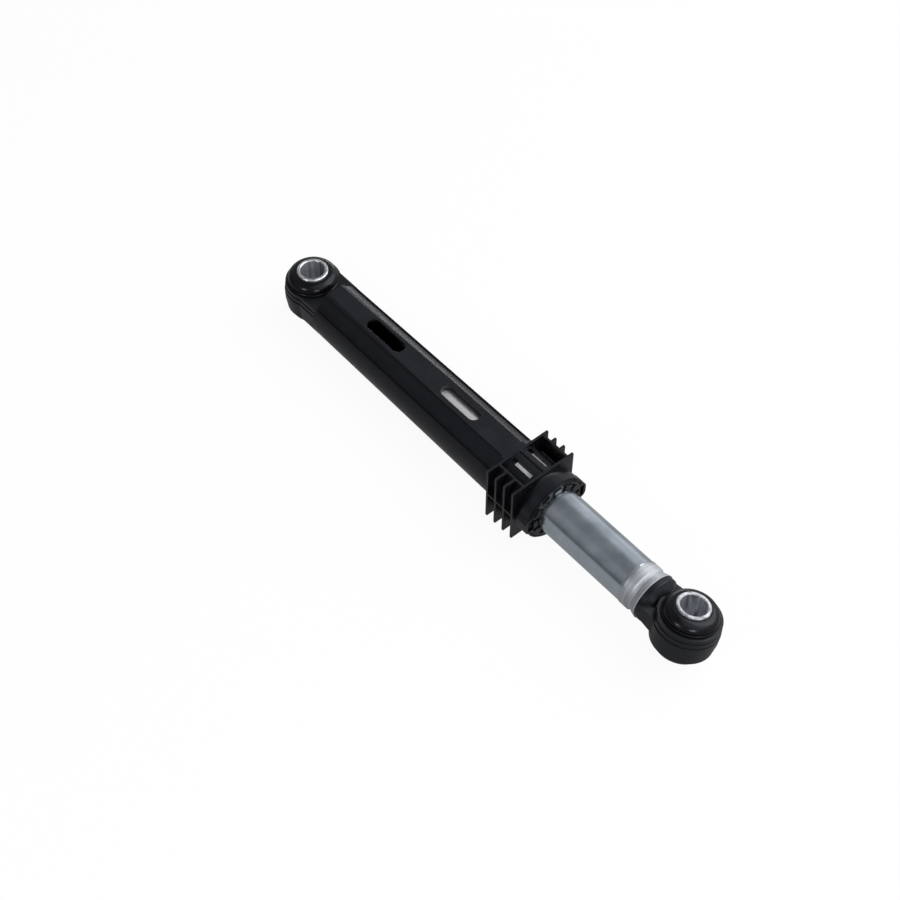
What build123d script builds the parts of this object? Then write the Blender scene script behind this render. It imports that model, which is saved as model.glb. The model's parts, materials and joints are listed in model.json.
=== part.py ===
from build123d import *
import os
from math import cos, radians, sin

# Friction damper for a washing machine: a moulded tube with an eye at one end and cooling fins at its
# mouth, and a steel rod with a moulded eye that slides through a friction lining in that mouth.
# The origin is the centre of the tube's eye, X runs to the rod's eye and Z along the bore of the tube's eye.
# All lengths are in millimetres and all angles in degrees.

# Both ends
eye_spacing = 226.0
rod_eye_roll = -11.9
turn_clearance = 0.05
seat_clearance = 0.05

# Bolt sleeves
sleeve_bore_radius = 5.25
sleeve_wall = 1.5
sleeve_length = 24.6
sleeve_chamfer = 0.35

# Rubber bushes
bush_wall = 2.4
bush_lip_width = 0.6
sleeve_proud = 1.0
dome_radius = 10.9
dome_bulge = 0.55
dome_groove_depth = 0.5
dome_groove_height = 0.5
flange_overhang = 0.5
flange_height = 1.1
flange_round = 0.3

# Eye housings
eye_height = 13.2
tube_eye_wall = 3.35
rod_eye_wall = 3.9
eye_step_width = 0.3
eye_step_height = 2.3

# Rod
rod_radius = 9.8
rod_wall = 1.2
rod_length = 138.8
rod_end_to_eye = 17.2
rod_band_start = 9.2
rod_band_rise = 0.2
rod_band_slope = 0.4
rod_band_length = 4.2
rod_groove_depth = 0.4
rod_groove_slope = 0.7
rod_groove_length = 1.2
rod_lip_rise = 0.5
rod_lip_length = 0.25

# Guide ring at the rod's inner end
guide_grip = 6.0
guide_cap = 3.4
guide_cap_opening = 2.4
guide_bead_start = 2.2
guide_bead_length = 1.6
guide_bead_depth = 0.45
guide_play = 0.15
slide_clearance = 0.08

# Tube
barrel_start = 15.5
barrel_length = 115.9
barrel_end_wall = 2.5
bore_gap = 1.1
barrel_start_wall = 1.85
flat_wall = 1.4
flute_top_place = 5.1
flute_low_angle = 57.0
flute_depth = 0.85
flute_margin = 3.0

# Slots through the barrel
slot_width = 5.9
slot_length = 22.0
first_slot = 50.0
slot_pitch = 47.6
slot_count = 2

# Neck between the tube's eye and the barrel
neck_inset = 1.0
neck_overlap = 1.2

# Cage that holds the lining
guide_clearance = 0.3
cage_wall = 2.1
cage_collar = 1.6
cage_nose = 4.4
cage_nose_wall = 1.0
cage_proud = 0.6
cage_bar_count = 6
cage_bar_width = 3.0
cage_bar_depth = 0.9
tooth_count = 12
tooth_gap = 2.3
tooth_height = 1.0
tongue_width = 5.6
tongue_set_back = 0.3
tongue_front = 0.9
lining_play = 0.1
rub_clearance = 0.05

# Collar with its fins
pocket_back = 1.6
collar_wall = 1.35
fin_count = 4
fin_pitch = 4.85
fin_thickness = 1.0
fin_side_height = 2.2
fin_top_height = 0.5
rib_thickness = 1.0
near_rib_place = -9.9
middle_rib_place = 1.3
far_rib_place = 13.0
slit_width = 2.0
slit_length = 11.2
slit_set_back = 0.55
slit_places = (-3.7, 4.7, 8.9)

# Mouth
mouth_length = 8.0
mouth_flare = 1.1
mouth_flare_length = 4.6
mouth_flare_bulge = 0.35
rim_step = 0.7
rim_groove_radius = 13.45
rim_groove_width = 0.45
ear_width = 8.6
ear_height = 1.25
ear_length = 5.4
ear_wall = 1.2
ear_gap = 0.3
ear_round = 2.8

# Disc and neck of the rod's eye
disc_overhang = 0.2
disc_thickness = 2.6
disc_round = 0.5
plug_past_band = 0.6
rod_neck_height = 6.2
rod_neck_disc_width = 19.6
rod_neck_eye_width = 24.2
rod_neck_cone_length = 3.2
rod_neck_cone_drop = 0.4
rod_neck_cone_radius = 6.4

# Sizes that follow from the ones above
sleeve_radius = sleeve_bore_radius + sleeve_wall
bush_inner_radius = sleeve_radius + turn_clearance
bush_outer_radius = bush_inner_radius + bush_wall
eye_bore_radius = bush_outer_radius + seat_clearance
tube_eye_radius = eye_bore_radius + tube_eye_wall
rod_eye_radius = eye_bore_radius + rod_eye_wall
barrel_bore_radius = rod_radius + bore_gap
cage_inner_radius = rod_radius + guide_clearance
cage_outer_radius = cage_inner_radius + cage_wall
pocket_radius = cage_outer_radius + seat_clearance
collar_radius = pocket_radius + collar_wall
mouth_radius = collar_radius + mouth_flare
collar_start = barrel_start + barrel_length
collar_length = (fin_count - 1) * fin_pitch + fin_thickness
collar_end = collar_start + collar_length
pocket_start = collar_start + pocket_back
mouth_end = collar_end + mouth_length
cage_end = mouth_end + cage_proud
nose_start = cage_end - cage_nose
nose_inner_radius = cage_outer_radius - cage_nose_wall
teeth_start = cage_end - tooth_height
tongue_start = nose_start + tongue_set_back
fin_half_width = collar_radius + fin_side_height
fin_half_height = collar_radius + fin_top_height
rod_end = eye_spacing - rod_end_to_eye
rod_start = rod_end - rod_length
slot_places = [first_slot + i * slot_pitch for i in range(slot_count)]


def turned(points, axis):
    """A solid turned about the axis from a closed outline of straight runs."""
    return revolve(make_face(Polyline(*points, close=True)), axis=axis)


def tube_between(start, end, outer, inner):
    """A plain tube along X."""
    outline = [(start, inner), (start, outer), (end, outer), (end, inner)]
    return turned(outline, Axis.X)


def rod_between(start, end, radius):
    """A plain round bar along X."""
    return tube_between(start, end, radius, 0)


def block(x_range, y_range, z_range):
    """A box between two limits on each axis."""
    ranges = (x_range, y_range, z_range)
    size = [high - low for low, high in ranges]
    middle = [(high + low) / 2 for low, high in ranges]
    return Pos(*middle) * Box(*size)


def tapered_plate(start, start_width, end, end_width, height):
    """A flat plate along X, level with the eye's middle, that changes its width on the way."""
    near = [(start, -start_width / 2), (end, -end_width / 2)]
    far = [(end, end_width / 2), (start, start_width / 2)]
    return extrude(make_face(Polyline(*near, *far, close=True)), amount=height / 2, both=True)


# Eye parts, each about its own centre with the bore along Z


def sleeve():
    """A steel sleeve that the bolt goes through, with chamfered ends."""
    half = sleeve_length / 2
    cut = sleeve_chamfer
    ring = [(sleeve_bore_radius, half - cut), (sleeve_bore_radius + cut, half)]
    ring += [(sleeve_radius - cut, half), (sleeve_radius, half - cut)]
    outline = ring + [(r, -z) for r, z in reversed(ring)]
    return turned([(r, 0, z) for r, z in outline], Axis.Z)


def bush():
    """A rubber bush with a waist in the housing, and a flange and a dome above and below it."""
    seat = eye_height / 2
    flange_top = seat + flange_height
    dome_base = flange_top + dome_groove_height
    top = sleeve_length / 2 - sleeve_proud
    lip = bush_inner_radius + bush_lip_width
    flange = dome_radius + flange_overhang
    groove = dome_radius - dome_groove_depth
    middle = ((lip + dome_radius) / 2 + dome_bulge, 0, (top + dome_base) / 2 + dome_bulge)
    lower = [(bush_inner_radius, 0), (bush_outer_radius, 0), (bush_outer_radius, seat)]
    lower += [(flange - flange_round, seat), (flange, seat + flange_round)]
    lower += [(flange, flange_top - flange_round), (flange - flange_round, flange_top)]
    lower += [(groove, flange_top), (groove, dome_base), (dome_radius, dome_base)]
    outline = [Polyline(*[(r, 0, z) for r, z in lower])]
    outline += [ThreePointArc((dome_radius, 0, dome_base), middle, (lip, 0, top))]
    outline += [Polyline((lip, 0, top), (bush_inner_radius, 0, top), (bush_inner_radius, 0, 0))]
    half = revolve(make_face(outline), axis=Axis.Z)
    return half + mirror(half, about=Plane.XY)


def eye_side(radius):
    """The stepped side of an eye from its top to its bottom, as pairs of radius and height."""
    top = eye_height / 2
    step = top - eye_step_height
    low = step - eye_step_height
    narrow = radius - 2 * eye_step_width
    half = [(narrow, top), (narrow, step), (narrow + eye_step_width, step)]
    half += [(narrow + eye_step_width, low), (radius, low)]
    return half + [(r, -z) for r, z in reversed(half)]


def eye_housing(radius):
    """The stepped round block of an eye, before its bore is cut."""
    outline = [(0, eye_height / 2)] + eye_side(radius) + [(0, -eye_height / 2)]
    return turned([(r, 0, z) for r, z in outline], Axis.Z)


def eye_bore():
    """The hole through an eye housing that takes the bush."""
    return Cylinder(eye_bore_radius, 2 * eye_height)


def at_rod_eye(shape):
    """Moves a shape that was made about its own centre to the rod's eye, turned about the rod."""
    return Pos(eye_spacing, 0, 0) * Rot(X=rod_eye_roll) * shape


# Tube


def barrel_body(inset):
    """The tapered barrel, drawn in from its surface by the inset."""
    start_radius = barrel_bore_radius + barrel_start_wall - inset
    outline = [(barrel_start, 0), (barrel_start, start_radius)]
    outline += [(collar_start, collar_radius - inset), (collar_start, 0)]
    return turned(outline, Axis.X)


def flute(side, face):
    """A shallow recess along the barrel on one side and one face, with an upright wall next to the flat."""
    reach = 2 * collar_radius
    across = side * sin(radians(flute_low_angle))
    up = face * cos(radians(flute_low_angle))
    upright = [(0, side * flute_top_place, face * z) for z in (barrel_bore_radius / 2, reach)]
    radial = [(0, r * across, r * up) for r in (reach, barrel_bore_radius / 2)]
    outline = make_face(Polyline(*upright, *radial, close=True))
    wedge = extrude(outline, amount=collar_start - flute_margin, dir=(1, 0, 0))
    return wedge - barrel_body(flute_depth)


def barrel():
    """The barrel with its flats above and below, and its flutes."""
    flat = barrel_bore_radius + flat_wall
    reach = 2 * collar_radius
    body = barrel_body(0) & block((0, collar_start), (-reach, reach), (-flat, flat))
    for side in (-1, 1):
        for face in (-1, 1):
            body -= flute(side, face)
    return body


def slots():
    """The rounded slots that go through the barrel from top to bottom."""
    slot = extrude(SlotOverall(slot_length, slot_width), amount=2 * collar_radius, both=True)
    return [Pos(x, 0, 0) * slot for x in slot_places]


def neck():
    """The block between the tube's eye and the end of the barrel, stepped like the eye."""
    far_side = eye_side(tube_eye_radius - neck_inset)
    near_side = [(-y, z) for y, z in reversed(far_side)]
    outline = make_face(Polyline(*[(0, y, z) for y, z in far_side + near_side], close=True))
    return extrude(outline, amount=barrel_start + neck_overlap, dir=(1, 0, 0))


def fins():
    """Four square cooling fins; the middle ones are open above and below, between the outer ribs."""
    opening = (near_rib_place, far_rib_place)
    plates = []
    for i in range(fin_count):
        back = collar_start + i * fin_pitch
        span = (back, back + fin_thickness)
        plate = block(span, (-fin_half_width, fin_half_width), (-fin_half_height, fin_half_height))
        if 0 < i < fin_count - 1:
            plate -= block(span, opening, (-fin_half_height, fin_half_height))
        plates.append(plate)
    return plates


def ribs():
    """The ribs along the collar: three above, three below and one on each side."""
    span = (collar_start, collar_end)
    half = rib_thickness / 2
    made = [block(span, (-fin_half_width, fin_half_width), (-half, half))]
    for place in (near_rib_place, middle_rib_place, far_rib_place):
        made.append(block(span, (place - half, place + half), (-fin_half_height, fin_half_height)))
    return made


def slits():
    """The narrow slits in the collar's wall, above and below, that show the lining."""
    middle = (collar_start + collar_end) / 2 - slit_set_back
    span = (middle - slit_length / 2, middle + slit_length / 2)
    reach = 2 * collar_radius
    return [block(span, (y - slit_width / 2, y + slit_width / 2), (-reach, reach)) for y in slit_places]


def mouth():
    """The flared ring in front of the fins, with a stepped rim."""
    flare_end = collar_end + mouth_flare_length
    middle = ((collar_end + flare_end) / 2, (collar_radius + mouth_radius) / 2 + mouth_flare_bulge)
    rim_back = mouth_end - rim_step
    rim_radius = mouth_radius - rim_step
    front = [(flare_end, mouth_radius), (rim_back, mouth_radius), (rim_back, rim_radius)]
    front += [(mouth_end, rim_radius), (mouth_end, 0), (collar_end, 0)]
    flare = ThreePointArc((collar_end, collar_radius), middle, (flare_end, mouth_radius))
    outline = [Polyline((collar_end, 0), (collar_end, collar_radius)), flare, Polyline(*front)]
    ring = revolve(make_face(outline), axis=Axis.X)
    return ring - tube_between(rim_back, mouth_end, rim_groove_radius + rim_groove_width, rim_groove_radius)


def ear(side):
    """The hollow lug on one side of the mouth that a tongue of the cage snaps into."""
    outer = mouth_radius + ear_height
    lug = block((mouth_end - ear_length, mouth_end), (0, outer), (-ear_width / 2, ear_width / 2))
    corners = lug.edges().filter_by(Axis.X).group_by(Axis.Y)[-1]
    return fillet(corners, ear_round) if side > 0 else mirror(fillet(corners, ear_round), about=Plane.XZ)


def ear_pocket(side):
    """The space inside an ear, open to the front and to the pocket of the cage."""
    outer = mouth_radius + ear_height - ear_wall
    half = tongue_width / 2 + ear_gap
    room = block((tongue_start - ear_gap, mouth_end), (0, outer), (-half, half))
    return room if side > 0 else mirror(room, about=Plane.XZ)


def outer_tube():
    """The tube as one moulding: eye, neck, barrel, finned collar and mouth."""
    body = barrel() + rod_between(collar_start, collar_end, collar_radius) + mouth()
    body += fins() + ribs() + [ear(side) for side in (-1, 1)]
    body += neck()
    body += eye_housing(tube_eye_radius)
    body -= rod_between(barrel_start + barrel_end_wall, pocket_start, barrel_bore_radius)
    body -= rod_between(pocket_start, mouth_end, pocket_radius)
    body -= slots() + slits() + [ear_pocket(side) for side in (-1, 1)]
    return body - eye_bore()


# Friction unit in the mouth


def spoke(x_range, outer, width):
    """A block from the axis out to one side, even about the X-Y plane."""
    return block(x_range, (0, outer), (-width / 2, width / 2))


def around(shape, count):
    """Copies of a shape spaced evenly about X, the first half a step round."""
    return [Rot(X=(i + 0.5) * 360 / count) * shape for i in range(count)]


def cage():
    """The plastic cage: a back collar, bars beside the lining, and a toothed nose with two snap tongues."""
    body = tube_between(pocket_start, pocket_start + cage_collar, cage_outer_radius, cage_inner_radius)
    bar_inner_radius = cage_outer_radius - cage_bar_depth
    bar = spoke((pocket_start, teeth_start), 2 * cage_outer_radius, cage_bar_width)
    shell = tube_between(pocket_start, teeth_start, cage_outer_radius, bar_inner_radius)
    body += shell & (Part() + around(bar, cage_bar_count))
    nose = [(nose_start, nose_inner_radius), (nose_start, cage_outer_radius)]
    nose += [(cage_end, cage_outer_radius), (cage_end, cage_inner_radius)]
    nose += [(teeth_start, cage_inner_radius), (teeth_start, nose_inner_radius)]
    body += turned(nose, Axis.X)
    gap = spoke((teeth_start - lining_play, cage_end), 2 * cage_outer_radius, tooth_gap)
    body -= around(gap, tooth_count)
    tongue_tip = mouth_radius + ear_height - ear_wall - ear_gap
    tongue = spoke((tongue_start, mouth_end - tongue_front), tongue_tip, tongue_width)
    tongue -= rod_between(pocket_start, cage_end, bar_inner_radius)
    return body + tongue + mirror(tongue, about=Plane.XZ)


def lining():
    """The ring of friction lining that grips the rod: grooved for the cage's bars, thinner in its nose."""
    inner = rod_radius + rub_clearance
    start = pocket_start + cage_collar + lining_play
    end = nose_start - lining_play
    ring = tube_between(start, end, cage_outer_radius - lining_play, inner)
    groove = spoke((start, end), cage_outer_radius, cage_bar_width + 2 * lining_play)
    groove -= rod_between(start, end, cage_outer_radius - cage_bar_depth - lining_play)
    ring -= around(groove, cage_bar_count)
    return ring + tube_between(start, teeth_start - lining_play, nose_inner_radius - lining_play, inner)


# Rod


def rod_line(shift, length):
    """The rod's outline over its last length, moved in or out by the shift: band, rolled groove and lip."""
    band_top = rod_band_start - rod_band_slope
    groove_back = band_top - rod_band_length - rod_groove_slope
    groove_front = groove_back - rod_groove_length
    steps = [(length, 0), (rod_band_start, 0), (band_top, rod_band_rise)]
    steps += [(band_top - rod_band_length, rod_band_rise)]
    steps += [(groove_back, -rod_groove_depth), (groove_front, -rod_groove_depth)]
    steps += [(groove_front - rod_groove_slope, 0), (rod_lip_length, rod_lip_rise), (0, rod_lip_rise)]
    return [(rod_end - back, rod_radius + rise + shift) for back, rise in steps]


def rod():
    """The steel rod tube, with a small groove for the guide ring near its inner end."""
    body = turned(rod_line(0, rod_length) + list(reversed(rod_line(-rod_wall, rod_length))), Axis.X)
    groove_start = rod_start + guide_bead_start
    return body - tube_between(groove_start, groove_start + guide_bead_length, 2 * rod_radius,
                               rod_radius - guide_bead_depth)


def rod_guide():
    """The plastic ring clipped on the rod's inner end, which keeps the rod central in the barrel."""
    outer = barrel_bore_radius - slide_clearance
    inner = rod_radius + turn_clearance
    cap_end = rod_start - guide_play
    ring = tube_between(cap_end, rod_start + guide_grip, outer, inner)
    ring += tube_between(cap_end - guide_cap, cap_end, outer, inner - guide_cap_opening)
    bead_start = rod_start + guide_bead_start + guide_play
    bead_end = bead_start + guide_bead_length - 2 * guide_play
    return ring + tube_between(bead_start, bead_end, outer, inner - guide_bead_depth)


def plug():
    """The plug of the rod's eye that the rod's end is rolled on to."""
    length = rod_band_start + plug_past_band
    outline = rod_line(-rod_wall - seat_clearance, length)
    return turned([(rod_end - length, 0)] + outline + [(rod_end, 0)], Axis.X)


def disc():
    """The round disc of the rod's eye that the rod's lip bears on."""
    plate = rod_between(rod_end, rod_end + disc_thickness, rod_radius + disc_overhang)
    return fillet(plate.edges().group_by(Axis.X)[-1], disc_round)


def rod_neck():
    """The plate and the cone between the disc and the eye, made about the eye's centre."""
    disc_front = rod_end + disc_thickness - eye_spacing
    start = disc_front - disc_thickness / 2
    plate = tapered_plate(start, rod_neck_disc_width, 0, rod_neck_eye_width, rod_neck_height)
    wide = rod_radius + disc_overhang - rod_neck_cone_drop
    cone = [(start, 0), (start, wide), (disc_front, wide)]
    cone += [(disc_front + rod_neck_cone_length, rod_neck_cone_radius), (0, rod_neck_cone_radius), (0, 0)]
    return plate + turned(cone, Axis.X)


def rod_eye():
    """The moulded end of the rod: plug, disc, neck and eye as one piece."""
    eye = rod_neck() + eye_housing(rod_eye_radius) - eye_bore()
    return plug() + disc() + at_rod_eye(eye)


parts = {
    "outer_tube": outer_tube(),
    "tube_eye_bush": bush(),
    "tube_eye_sleeve": sleeve(),
    "lining_cage": cage(),
    "friction_lining": lining(),
    "rod_guide_ring": rod_guide(),
    "rod": rod(),
    "rod_eye": rod_eye(),
    "rod_eye_bush": at_rod_eye(bush()),
    "rod_eye_sleeve": at_rod_eye(sleeve()),
}

os.makedirs("parts", exist_ok=True)
for name, shape in parts.items():
    export_step(shape, f"parts/{name}.step")
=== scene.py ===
import json
import math

import bpy
from mathutils import Matrix, Vector


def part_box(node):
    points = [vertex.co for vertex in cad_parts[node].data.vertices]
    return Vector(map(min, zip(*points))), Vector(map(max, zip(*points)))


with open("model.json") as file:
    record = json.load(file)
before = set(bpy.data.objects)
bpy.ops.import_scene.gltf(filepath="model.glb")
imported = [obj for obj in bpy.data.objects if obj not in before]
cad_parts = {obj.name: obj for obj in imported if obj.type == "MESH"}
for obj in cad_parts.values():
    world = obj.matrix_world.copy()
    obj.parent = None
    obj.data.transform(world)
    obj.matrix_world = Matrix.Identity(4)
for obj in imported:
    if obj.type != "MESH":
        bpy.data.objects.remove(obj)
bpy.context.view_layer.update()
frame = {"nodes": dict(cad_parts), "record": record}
scene = bpy.context.scene
nodes = frame["nodes"]

# All lengths are in metres, in the part's frame: X along the damper and Z up along the tube eye's bore.

# Camera: where the photograph was taken from, its own axes, and its sensor and lens in millimetres
CAMERA_PLACE = Vector((0.4240, -0.2846, 0.5294))
CAMERA_BACK = Vector((0.4714, -0.4030, 0.7845))
CAMERA_RIGHT = Vector((0.6479, 0.7617, 0.0019))
SENSOR_WIDTH = 36.0
LENS = 67.24


def add_camera():
    """The camera at the photograph's place, aimed as it was."""
    back = CAMERA_BACK.normalized()
    right = (CAMERA_RIGHT - back * CAMERA_RIGHT.dot(back)).normalized()
    data = bpy.data.cameras.new("camera")
    data.sensor_width = SENSOR_WIDTH
    data.lens = LENS
    data.clip_start = 0.01
    camera = bpy.data.objects.new("camera", data)
    scene.collection.objects.link(camera)
    turn = Matrix((right, back.cross(right), back)).transposed()
    camera.matrix_world = Matrix.Translation(CAMERA_PLACE) @ turn.to_4x4()
    scene.camera = camera


# Materials

# The darkest and the palest colour of each surface, or its one colour
# The palest colour of each black plastic also serves as its painted edge highlight
PLASTIC_BLACK = ((0.0020, 0.0021, 0.0027), (0.0048, 0.0050, 0.0062))
CAGE_BLACK = ((0.0025, 0.0026, 0.0032), (0.0065, 0.0067, 0.0080))
RUBBER_BLACK = ((0.0022, 0.0022, 0.0028), (0.0052, 0.0052, 0.0064))
STEEL_BORE = ((0.24, 0.26, 0.29), (0.80, 0.82, 0.86))
STEEL_FACE = ((0.28, 0.29, 0.31), (0.68, 0.68, 0.69))
ZINC = ((0.44, 0.50, 0.56), (0.60, 0.66, 0.73))
ROLLED_ZINC = ((0.42, 0.44, 0.47), (0.58, 0.60, 0.63))
FELT = ((0.74, 0.74, 0.72), (0.94, 0.94, 0.92))
NYLON = ((0.50, 0.50, 0.46), (0.62, 0.62, 0.58))
RUBBED_ZINC = (0.90, 0.90, 0.92)
# Painted shade for the felt's ends, which sit in the crevices between the teeth
FELT_END_SHADE = (0.06, 0.06, 0.055)
PLASTIC_ROUGHNESS = 0.34
# Where the rod's rubbed inner end fades out and its rolled outer end begins, along the damper
RUBBED_END = (0.118, 0.135)
ROLLED_END = (0.1992, 0.2016)
# The part of a noise that is stretched from its lowest to its highest: soft clouds, marks and crisp lines
SOFT_SPAN = (0.3, 0.7)
MARK_SPAN = (0.35, 0.65)
CRISP_SPAN = (0.38, 0.62)


class Material:
    """A node material with a principled shader, and helpers that add and link nodes."""

    def __init__(self, name):
        self.material = bpy.data.materials.new(name)
        self.material.use_nodes = True
        self.tree = self.material.node_tree
        self.shader = self.tree.nodes["Principled BSDF"]
        coordinates = self.add("ShaderNodeTexCoord").outputs
        self.place = coordinates["Object"]
        self.normal = coordinates["Normal"]

    def add(self, kind, **values):
        node = self.tree.nodes.new(kind)
        for key, value in values.items():
            setattr(node, key, value)
        return node

    def link(self, output, target):
        self.tree.links.new(output, target)

    def stretched(self, scale):
        """The object coordinate scaled by three factors."""
        mapping = self.add("ShaderNodeMapping")
        mapping.inputs["Scale"].default_value = scale
        self.link(self.place, mapping.inputs["Vector"])
        return mapping.outputs["Vector"]

    def noise(self, place, scale, detail=3.0, roughness=0.55):
        node = self.add("ShaderNodeTexNoise")
        node.inputs["Scale"].default_value = scale
        node.inputs["Detail"].default_value = detail
        node.inputs["Roughness"].default_value = roughness
        self.link(place, node.inputs["Vector"])
        return node.outputs["Fac"]

    def ranged(self, value, low, high, start=0.0, end=1.0):
        """The value mapped from start and end to low and high, kept between them."""
        node = self.add("ShaderNodeMapRange")
        node.inputs["From Min"].default_value = start
        node.inputs["From Max"].default_value = end
        node.inputs["To Min"].default_value = low
        node.inputs["To Max"].default_value = high
        self.link(value, node.inputs["Value"])
        return node.outputs["Result"]

    def math(self, operation, first, second):
        node = self.add("ShaderNodeMath", operation=operation)
        for socket, value in zip(node.inputs, (first, second)):
            if isinstance(value, (int, float)):
                socket.default_value = value
            else:
                self.link(value, socket)
        return node.outputs["Value"]

    def blend(self, factor, low, high):
        """A colour between two, each a plain colour or an output, by the factor."""
        node = self.add("ShaderNodeMix", data_type="RGBA")
        for name, value in (("A", low), ("B", high)):
            if isinstance(value, tuple):
                node.inputs[name].default_value = (*value, 1)
            else:
                self.link(value, node.inputs[name])
        self.link(factor, node.inputs["Factor"])
        return node.outputs["Result"]

    def shade(self, noise, colours, span):
        """The darkest to the palest of two colours, by the noise within the span."""
        return self.blend(self.ranged(noise, 0.0, 1.0, *span), *colours)

    def bump(self, layers, rounding=0.00012):
        """Softens the edges by the rounding and stacks (height, strength, distance) bumps on that."""
        soft = self.add("ShaderNodeBevel", samples=4)
        soft.inputs["Radius"].default_value = rounding
        normal = soft.outputs["Normal"]
        for height, strength, distance in layers:
            node = self.add("ShaderNodeBump")
            node.inputs["Strength"].default_value = strength
            node.inputs["Distance"].default_value = distance
            self.link(height, node.inputs["Height"])
            self.link(normal, node.inputs["Normal"])
            normal = node.outputs["Normal"]
        self.link(normal, self.shader.inputs["Normal"])

    def facing(self, axis, start, end):
        """How far a place faces along an axis of the object, either way, from 0 at start to 1 at end."""
        split = self.add("ShaderNodeSeparateXYZ")
        self.link(self.normal, split.inputs["Vector"])
        return self.ranged(self.math("ABSOLUTE", split.outputs[axis], 0.0), 0.0, 1.0, start, end)

    # Marks the outer edges that get a painted highlight in the black plastic
    def edges(self, low=0.5, high=0.58):
        """How far a place is on an outer edge, from 0 to 1, by the geometry's pointiness."""
        pointiness = self.add("ShaderNodeNewGeometry").outputs["Pointiness"]
        return self.ranged(pointiness, 0.0, 1.0, low, high)

    def colour(self, output):
        self.link(output, self.shader.inputs["Base Color"])

    def rough(self, output):
        self.link(output, self.shader.inputs["Roughness"])


def black_plastic(name, colours):
    """Satin black moulded plastic: fine grain, soft flow marks, and slightly paler edges that are a painted
    highlight.
    """
    m = Material(name)
    flow = m.noise(m.stretched((12, 45, 45)), 1.0, detail=4.0)
    grain = m.noise(m.place, 5200.0, detail=2.0)
    cloud = m.noise(m.place, 140.0, detail=5.0)
    # Flow marks, and a painted highlight that makes the outer edges paler
    flow_and_edge_highlight = m.math("MAXIMUM", m.ranged(flow, 0.0, 0.7, 0.3, 0.75), m.edges())
    m.colour(m.blend(flow_and_edge_highlight, *colours))
    m.rough(m.ranged(cloud, PLASTIC_ROUGHNESS - 0.06, PLASTIC_ROUGHNESS + 0.08, *SOFT_SPAN))
    m.shader.inputs["Specular IOR Level"].default_value = 0.4
    m.shader.inputs["Specular Tint"].default_value = (0.82, 0.86, 1.0, 1)
    m.bump([(grain, 0.25, 0.00004), (cloud, 0.12, 0.0002)])
    return m.material


def black_rubber():
    """Moulded rubber with a soft gloss."""
    m = Material("rubber")
    cloud = m.noise(m.place, 160.0, detail=4.0)
    grain = m.noise(m.place, 3600.0)
    m.colour(m.shade(cloud, RUBBER_BLACK, SOFT_SPAN))
    m.rough(m.ranged(cloud, 0.20, 0.32, *SOFT_SPAN))
    m.shader.inputs["Specular IOR Level"].default_value = 0.24
    m.shader.inputs["Specular Tint"].default_value = (0.86, 0.89, 1.0, 1)
    m.bump([(grain, 0.15, 0.00003), (cloud, 0.15, 0.0002)])
    return m.material


def turned_steel():
    """Steel sleeve: scuffed turned ends, and a drawn bore with fine lines along it."""
    m = Material("turned_steel")
    lines = m.noise(m.stretched((420, 420, 8)), 1.0, detail=3.0)
    scuffs = m.noise(m.place, 330.0, detail=4.0)
    end = m.facing("Z", 0.72, 0.9)
    m.colour(m.blend(end, m.shade(lines, STEEL_BORE, CRISP_SPAN), m.shade(scuffs, STEEL_FACE, CRISP_SPAN)))
    m.rough(m.ranged(end, 0.30, 0.45))
    m.shader.inputs["Metallic"].default_value = 0.8
    m.bump([(lines, 0.12, 0.00003)])
    return m.material


def zinc_plate():
    """Zinc-plated rod: cloudy bluish plating with faint lines, a bright inner end and a dull rolled one."""
    m = Material("zinc")
    streaks = m.noise(m.stretched((6, 420, 420)), 1.0, detail=4.0)
    cloud = m.noise(m.place, 110.0, detail=5.0)
    along = m.add("ShaderNodeSeparateXYZ")
    m.link(m.place, along.inputs["Vector"])
    inner = m.ranged(along.outputs["X"], 1.0, 0.0, *RUBBED_END)
    rolled = m.ranged(along.outputs["X"], 0.0, 1.0, *ROLLED_END)
    marks = m.noise(m.stretched((1500, 40, 40)), 1.0, detail=3.0)
    plating = m.blend(inner, m.shade(cloud, ZINC, SOFT_SPAN), RUBBED_ZINC)
    m.colour(m.blend(rolled, plating, m.shade(marks, ROLLED_ZINC, MARK_SPAN)))
    sheen = m.ranged(m.math("ADD", streaks, cloud), 0.15, 0.27, 0.6, 1.4)
    rubbed = m.math("MULTIPLY", inner, 0.42)
    matt = m.math("MULTIPLY", rolled, m.ranged(marks, 0.50, 0.64, *MARK_SPAN))
    m.rough(m.math("MAXIMUM", sheen, m.math("MAXIMUM", rubbed, matt)))
    m.shader.inputs["Metallic"].default_value = 1.0
    ridges = m.math("MULTIPLY", rolled, m.ranged(marks, 0.25, 0.75, *MARK_SPAN))
    m.bump([(streaks, 0.12, 0.00006), (cloud, 0.05, 0.0002), (ridges, 0.3, 0.00008)])
    return m.material


def felt_lining():
    """Pale greased felt with a fibrous surface, and painted shade that darkens its ends."""
    m = Material("felt")
    fibres = m.noise(m.place, 1500.0, detail=6.0, roughness=0.7)
    # The felt's ends, facing along the damper, are darkened with painted shade
    m.colour(m.blend(m.facing("X", 0.5, 0.8), m.shade(fibres, FELT, SOFT_SPAN), FELT_END_SHADE))
    m.rough(m.ranged(fibres, 0.6, 0.8))
    m.bump([(fibres, 0.6, 0.0002)])
    return m.material


def nylon():
    """Natural nylon of the guide ring."""
    m = Material("nylon")
    cloud = m.noise(m.place, 300.0, detail=4.0)
    m.colour(m.blend(cloud, *NYLON))
    m.rough(m.ranged(cloud, 0.35, 0.5))
    m.bump([(cloud, 0.2, 0.0001)])
    return m.material


# Floor, lights and world

FLOOR_SIZE = 6.0
FLOOR_COLOUR = (0.85, 0.85, 0.86, 1)
# The floor glows white to the camera and at this level in reflections. The glow has this share of what is
# seen, and the rest is the lit floor with the shadow.
FLOOR_MIRRORED_GLOW = 0.33
FLOOR_GLOW_SHARE = 0.93
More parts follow.
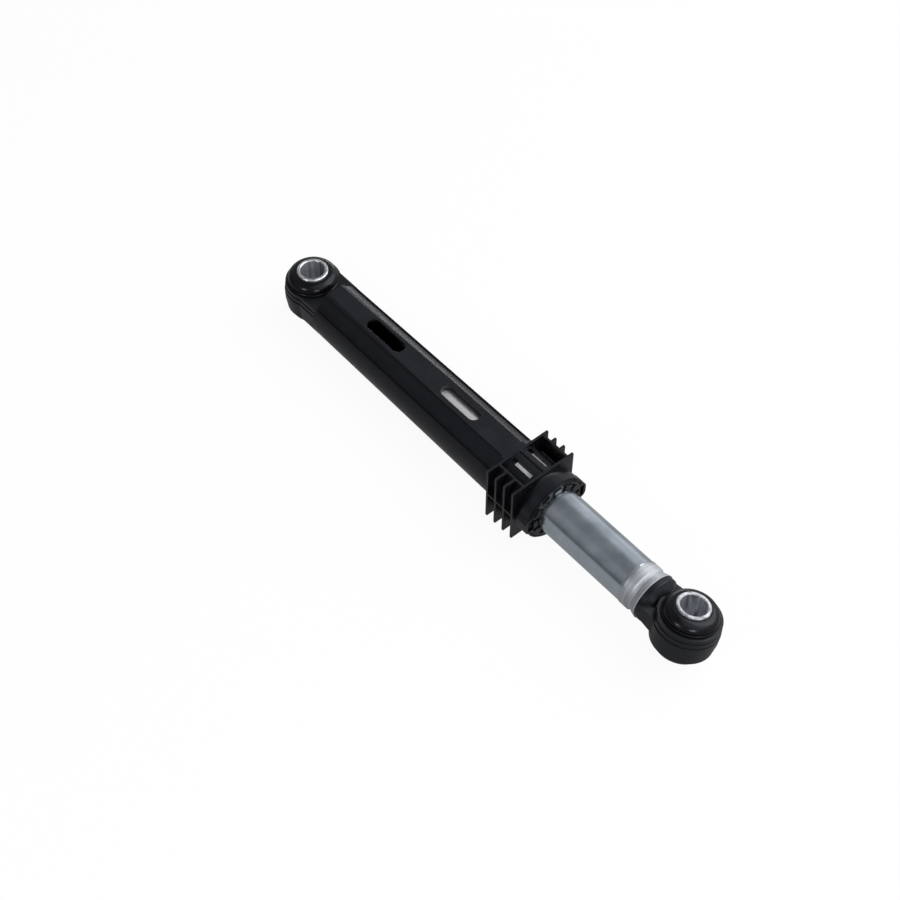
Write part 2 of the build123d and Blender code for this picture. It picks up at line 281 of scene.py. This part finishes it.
# Area lights: name, direction from the part's middle, distance, size and power in watts
LIGHTS = (
    ("top", (0.45, 0.25, 0.86), 1.3, (1.6, 1.6), 8.5),
    ("side", (0.25, 0.72, 0.65), 1.2, (1.1, 1.1), 10.0),
    ("front_lamp", (0.85, -0.42, 0.42), 1.0, (0.22, 0.12), 2.0),
    ("near_lamp", (0.063, -0.86, 0.5), 1.0, (0.14, 0.09), 1.8),
    ("low_panel", (-0.52, 0.60, 0.03), 0.8, (0.38, 0.12), 0.8),
)
PART_MIDDLE = Vector((0.113, 0, 0))
# The room's brightness by the height of the direction, on the far side and on the near side
FAR_ROOM = ((0.0, 0.7), (0.14, 0.72), (0.34, 0.55), (0.68, 0.45), (0.76, 0.25), (1.0, 0.2))
NEAR_ROOM = ((0.0, 0.10), (0.14, 0.11), (0.46, 0.22), (0.7, 0.3), (0.8, 0.27), (1.0, 0.2))
# Where the near room changes over to the far room, by the Y of the direction, and how bluish both are
ROOM_CHANGE = (-0.5, 0.5)
ROOM_BLUE = 1.03


def floor_material():
    """Pale floor: white to the eye with a soft shadow, and a lit grey in reflections."""
    m = Material("floor")
    m.tree.nodes.remove(m.shader)
    rays = m.add("ShaderNodeLightPath").outputs
    mirrored = m.math("ADD", rays["Is Glossy Ray"], rays["Is Transmission Ray"])
    level = m.math("ADD", rays["Is Camera Ray"], m.math("MULTIPLY", mirrored, FLOOR_MIRRORED_GLOW))
    glow = m.add("ShaderNodeEmission")
    m.link(level, glow.inputs["Strength"])
    diffuse = m.add("ShaderNodeBsdfDiffuse")
    diffuse.inputs["Color"].default_value = FLOOR_COLOUR
    mix = m.add("ShaderNodeMixShader")
    m.link(m.math("MULTIPLY", m.math("GREATER_THAN", level, 0.0), FLOOR_GLOW_SHARE), mix.inputs["Fac"])
    m.link(diffuse.outputs["BSDF"], mix.inputs[1])
    m.link(glow.outputs["Emission"], mix.inputs[2])
    m.link(mix.outputs["Shader"], m.tree.nodes["Material Output"].inputs["Surface"])
    return m.material


def add_floor():
    """A wide floor that touches the mouth's rim and the sleeve of the tube's eye."""
    low_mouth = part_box("outer_tube")[0].z
    low_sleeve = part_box("tube_eye_sleeve")[0].z
    mouth_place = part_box("outer_tube")[1].x
    slope = math.atan2(low_sleeve - low_mouth, mouth_place)
    bpy.ops.mesh.primitive_plane_add(size=FLOOR_SIZE)
    floor = bpy.context.object
    floor.name = "floor"
    floor.location = (0, 0, low_sleeve)
    floor.rotation_euler = (0, slope, 0)
    floor.data.materials.append(floor_material())


def add_lights():
    """Soft area lights, each aimed at the part's middle."""
    for name, direction, distance, size, power in LIGHTS:
        data = bpy.data.lights.new(name, "AREA")
        data.shape = "RECTANGLE"
        data.size, data.size_y = size
        data.energy = power
        light = bpy.data.objects.new(name, data)
        scene.collection.objects.link(light)
        away = Vector(direction).normalized()
        light.location = PART_MIDDLE + away * distance
        light.rotation_euler = away.to_track_quat("Z", "Y").to_euler()


def grey_ramp(tree, value, stops):
    """A grey that follows the value through the (place, level) stops."""
    node = tree.nodes.new("ShaderNodeValToRGB")
    elements = node.color_ramp.elements
    while len(elements) < len(stops):
        elements.new(0.5)
    for element, (place, level) in zip(elements, stops):
        element.position = place
        element.color = (level, level, level * ROOM_BLUE, 1)
    tree.links.new(value, node.inputs["Fac"])
    return node.outputs["Color"]


def add_world():
    """A plain studio room: bright low on the far side, darker overhead and near, and white to the eye."""
    world = bpy.data.worlds.new("room")
    scene.world = world
    world.use_nodes = True
    tree = world.node_tree
    place = tree.nodes.new("ShaderNodeTexCoord")
    split = tree.nodes.new("ShaderNodeSeparateXYZ")
    tree.links.new(place.outputs["Generated"], split.inputs["Vector"])
    side = tree.nodes.new("ShaderNodeMapRange")
    side.interpolation_type = "SMOOTHSTEP"
    side.inputs["From Min"].default_value, side.inputs["From Max"].default_value = ROOM_CHANGE
    tree.links.new(split.outputs["Y"], side.inputs["Value"])
    mix = tree.nodes.new("ShaderNodeMix")
    mix.data_type = "RGBA"
    tree.links.new(side.outputs["Result"], mix.inputs["Factor"])
    tree.links.new(grey_ramp(tree, split.outputs["Z"], NEAR_ROOM), mix.inputs["A"])
    tree.links.new(grey_ramp(tree, split.outputs["Z"], FAR_ROOM), mix.inputs["B"])
    rays = tree.nodes.new("ShaderNodeLightPath")
    seen = tree.nodes.new("ShaderNodeMix")
    seen.data_type = "RGBA"
    seen.inputs["B"].default_value = (1, 1, 1, 1)
    tree.links.new(rays.outputs["Is Camera Ray"], seen.inputs["Factor"])
    tree.links.new(mix.outputs["Result"], seen.inputs["A"])
    tree.links.new(seen.outputs["Result"], tree.nodes["Background"].inputs["Color"])


def dress():
    """Gives every CAD node its material."""
    slots = {part["node"]: part["material_slot"] for part in frame["record"]["subparts"]}
    materials = {
        "black_plastic": black_plastic("plastic", PLASTIC_BLACK),
        "cage_plastic": black_plastic("cage_plastic", CAGE_BLACK),
        "black_rubber": black_rubber(),
        "sleeve_steel": turned_steel(),
        "zinc_plate": zinc_plate(),
        "lining_felt": felt_lining(),
        "guide_plastic": nylon(),
    }
    for name, node in nodes.items():
        for slot in node.material_slots:
            slot.material = materials[slots[name]]


add_camera()
scene.view_settings.view_transform = "Standard"
add_world()
add_lights()
add_floor()
dress()
